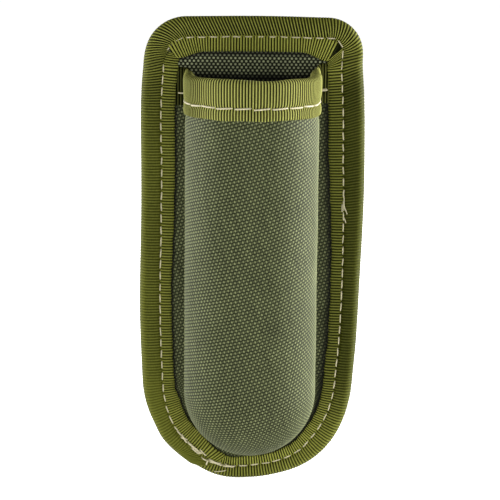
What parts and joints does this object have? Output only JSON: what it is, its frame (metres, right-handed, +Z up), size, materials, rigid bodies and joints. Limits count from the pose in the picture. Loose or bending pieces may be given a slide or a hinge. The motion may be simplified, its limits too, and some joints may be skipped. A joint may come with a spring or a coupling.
{
  "type": "flashlight holster",
  "caption": "Moulded nylon belt holster with an open-topped pocket for a hand-held flashlight, bound edges and a fold-over belt strap held by hook, loop and snaps.",
  "frame": {"origin": "on the axis of the light well, at the height where its straight wall meets the round closed end", "axes": "+Z up the well towards the open mouth, -Y to the front of the pocket, +Y towards the wearer, +X to the right seen from the front"},
  "size_m": [0.0748, 0.0528, 0.1585],
  "materials": {
    "pack_cloth": "coarse plain-weave coated nylon, dull olive",
    "lining_cloth": "smooth woven nylon, dark olive",
    "foam": "closed-cell foam, matte",
    "grosgrain_tape": "ribbed nylon tape, slight sheen, yellow-olive",
    "thread": "twisted bonded nylon, cream",
    "stiffener_sheet": "polyethylene sheet, matte black",
    "strap_webbing": "flat woven nylon webbing, olive",
    "hook_tape": "moulded nylon hooks, olive",
    "loop_tape": "brushed nylon loops, olive",
    "snap_metal": "black oxide finish on brass, satin",
    "spring_wire": "drawn wire"
  },
  "bodies": {
    "holster": {"front_shell_outer_fabric": "pack_cloth", "front_shell_foam": "foam", "front_shell_lining": "lining_cloth", "mouth_binding_tape": "grosgrain_tape", "mouth_seam_needle_thread": "thread", "mouth_seam_bobbin_thread": "thread", "back_panel_face_fabric": "pack_cloth", "back_panel_foam": "foam", "back_panel_stiffener": "stiffener_sheet", "back_panel_rear_fabric": "pack_cloth", "edge_binding_tape": "grosgrain_tape", "edge_seam_needle_thread": "thread", "edge_seam_bobbin_thread": "thread", "belt_strap_sewn_end": "strap_webbing", "belt_strap_box_stitch": "thread", "hook_patch": "hook_tape", "hook_patch_stitch": "thread", "snap_studs": "snap_metal", "snap_stud_eyelets": "snap_metal"},
    "strap": {"belt_strap_flap": "strap_webbing", "loop_patch": "loop_tape", "loop_patch_stitch": "thread", "snap_sockets": "snap_metal", "snap_socket_springs": "spring_wire", "snap_caps": "snap_metal"}
  },
  "joints": [
    {"name": "belt_strap_fold", "type": "hinge", "parent": "holster", "child": "strap", "pos_m": [0, 0.02455, 0.077], "axis": [1, 0, 0], "range_deg": [0, 110]}
  ]
}
